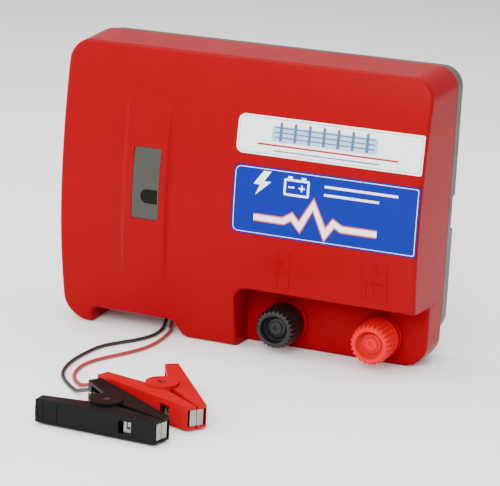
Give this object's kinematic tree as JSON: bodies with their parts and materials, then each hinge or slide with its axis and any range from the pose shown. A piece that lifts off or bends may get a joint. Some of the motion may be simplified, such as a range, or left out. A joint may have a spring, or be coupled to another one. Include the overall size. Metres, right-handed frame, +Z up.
{
  "type": "fence energizer",
  "caption": "Battery-powered electric fence energizer: a two-part plastic housing with a bulged front, two screw-down terminals and a pair of leads ending in sprung battery clips.",
  "frame": {"origin": "on the ground under the housing, in the middle of its width, 20.5 mm behind the front face's upper edge, on the flat underside", "axes": "+Z up, +X to the right along the front, -Y out of the front"},
  "size_m": [0.2518, 0.2483, 0.192],
  "materials": {
    "red_housing": "moulded, satin gloss",
    "grey_housing": "moulded, fine matt texture",
    "grey_plate": "moulded, satin",
    "dark_lens": "smoked lens, gloss",
    "white_label": "printed film, satin",
    "blue_label": "printed film, satin",
    "black_knob": "moulded, satin",
    "red_knob": "moulded, satin gloss",
    "black_clip": "moulded, satin",
    "red_clip": "moulded, satin gloss",
    "rubber": "soft, matt",
    "black_wire": "soft vinyl, satin",
    "red_wire": "soft vinyl, satin",
    "green_wire": "soft vinyl, satin",
    "steel": "bright zinc plated",
    "brass": "plain",
    "board": "glass-fibre board, satin",
    "black_component": "moulded",
    "blue_component": "moulded, satin",
    "aluminium": "extruded",
    "lamination": "varnished steel sheets",
    "copper_winding": "enamelled copper wire",
    "red_led": "tinted epoxy",
    "fuse": "glass and plated caps on a plastic holder"
  },
  "bodies": {
    "housing": {"front_cover": "red_housing", "rear_cover": "grey_housing", "case_seal": "rubber", "indicator_plate": "grey_plate", "indicator_lens": "dark_lens", "white_label": "white_label", "blue_label": "blue_label", "circuit_board": "board", "indicator_led": "red_led", "storage_capacitor": "blue_component", "smoothing_capacitor": "black_component", "inverter_transformer": "black_component", "thyristor": "black_component", "heat_sink": "aluminium", "battery_fuse": "fuse", "transformer_core": "lamination", "transformer_coil": "copper_winding", "transformer_strap": "steel", "supply_wire_black": "black_wire", "supply_wire_red": "red_wire", "earth_wire": "green_wire", "fence_wire": "red_wire", "cable_gland": "rubber", "case_screw_1": "steel", "case_screw_2": "steel", "case_screw_3": "steel", "case_screw_4": "steel", "board_screw_1": "steel", "board_screw_2": "steel", "board_screw_3": "steel", "board_screw_4": "steel", "strap_screw_1": "steel", "strap_screw_2": "steel", "earth_terminal_base": "red_housing", "earth_terminal_stud": "steel", "earth_inner_washer": "steel", "fence_terminal_base": "red_housing", "fence_terminal_stud": "steel", "fence_inner_washer": "steel", "black_clip_fixed_handle": "black_clip", "black_clip_fixed_jaw": "steel", "black_clip_pin": "steel", "black_clip_spring": "steel", "red_clip_fixed_handle": "red_clip", "red_clip_fixed_jaw": "steel", "red_clip_pin": "steel", "red_clip_spring": "steel", "battery_lead_black": "black_wire", "battery_lead_red": "red_wire"},
    "earth_washer": {"earth_clamp_washer": "brass"},
    "earth_knob": {"earth_knob": "black_knob"},
    "fence_washer": {"fence_clamp_washer": "brass"},
    "fence_knob": {"fence_knob": "red_knob"},
    "black_clip_moving_half": {"black_clip_moving_handle": "black_clip", "black_clip_moving_jaw": "steel"},
    "red_clip_moving_half": {"red_clip_moving_handle": "red_clip", "red_clip_moving_jaw": "steel"}
  },
  "joints": [
    {"name": "earth_washer_travel", "type": "slide", "parent": "housing", "child": "earth_washer", "axis": [0, -1, 0], "range_m": [0, 0.005]},
    {"name": "earth_knob_turn", "type": "hinge", "parent": "earth_washer", "child": "earth_knob", "pos_m": [0.0295, -0.02, 0.018], "axis": [0, -1, 0], "range_deg": [0, 1800]},
    {"name": "fence_washer_travel", "type": "slide", "parent": "housing", "child": "fence_washer", "axis": [0, -1, 0], "range_m": [0, 0.005]},
    {"name": "fence_knob_turn", "type": "hinge", "parent": "fence_washer", "child": "fence_knob", "pos_m": [0.094, -0.02, 0.018], "axis": [0, -1, 0], "range_deg": [0, 1800]},
    {"name": "black_clip_squeeze", "type": "hinge", "parent": "housing", "child": "black_clip_moving_half", "pos_m": [-0.008, -0.195, 0.0084], "axis": [0, 0, -1], "range_deg": [0, 40], "stiffness_Nm_per_rad": 0.5, "springref_deg": -57.3},
    {"name": "red_clip_squeeze", "type": "hinge", "parent": "housing", "child": "red_clip_moving_half", "pos_m": [0.0075, -0.152, 0.0084], "axis": [0, 0, 1], "range_deg": [0, 40], "stiffness_Nm_per_rad": 0.5, "springref_deg": -57.3}
  ],
  "couplings": [
    {"joint": "earth_washer_travel", "follows": "earth_knob_turn", "m_per_rad": 0.000159},
    {"joint": "fence_washer_travel", "follows": "fence_knob_turn", "m_per_rad": 0.000159}
  ]
}
